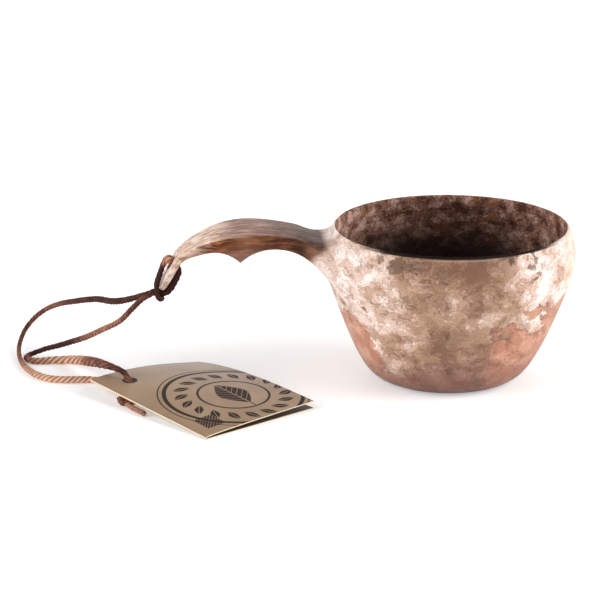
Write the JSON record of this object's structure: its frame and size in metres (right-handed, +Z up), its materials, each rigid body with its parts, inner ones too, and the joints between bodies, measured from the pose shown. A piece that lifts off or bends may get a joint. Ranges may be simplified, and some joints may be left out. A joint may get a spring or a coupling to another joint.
{
  "type": "wooden drinking cup",
  "caption": "Rounded bowl-shaped drinking cup with a broad arched handle, a doubled twine cord hitched through the handle's tip and a folded card tag on the cord.",
  "frame": {"origin": "centre of the cup's foot, on the surface it stands on", "axes": "+Z up through the mouth; the handle runs along -X; +Y to the side away from the tag"},
  "size_m": [0.2356, 0.1395, 0.0673],
  "materials": {
    "mottled_wood": "satin, mottled flaky fibre",
    "twine": "twisted matte twine with soft highlights",
    "kraft_card": "uncoated brown card"
  },
  "bodies": {
    "cup": {"cup": "mottled_wood", "cord_hitch": "twine"},
    "lanyard": {"cord_strand_a": "twine", "cord_strand_b": "twine", "cord_knot": "twine"},
    "tag": {"tag_back_leaf": "kraft_card"},
    "tag_cover": {"tag_cover_leaf": "kraft_card"}
  },
  "joints": [
    {"name": "lanyard_swing", "type": "hinge", "parent": "cup", "child": "lanyard", "pos_m": [-0.126, 0, 0.0384], "axis": [0, 0, 1], "range_deg": [-20, 20]},
    {"name": "tag_swivel", "type": "hinge", "parent": "lanyard", "child": "tag", "pos_m": [-0.13468, -0.01742, 0.0049], "axis": [0, 0, 1], "range_deg": [-4, 40]},
    {"name": "tag_cover_fold", "type": "hinge", "parent": "tag", "child": "tag_cover", "pos_m": [-0.1506, -0.0149, 0.00622], "axis": [0.5933, -0.8015, -0.0744], "range_deg": [0, 4]}
  ]
}
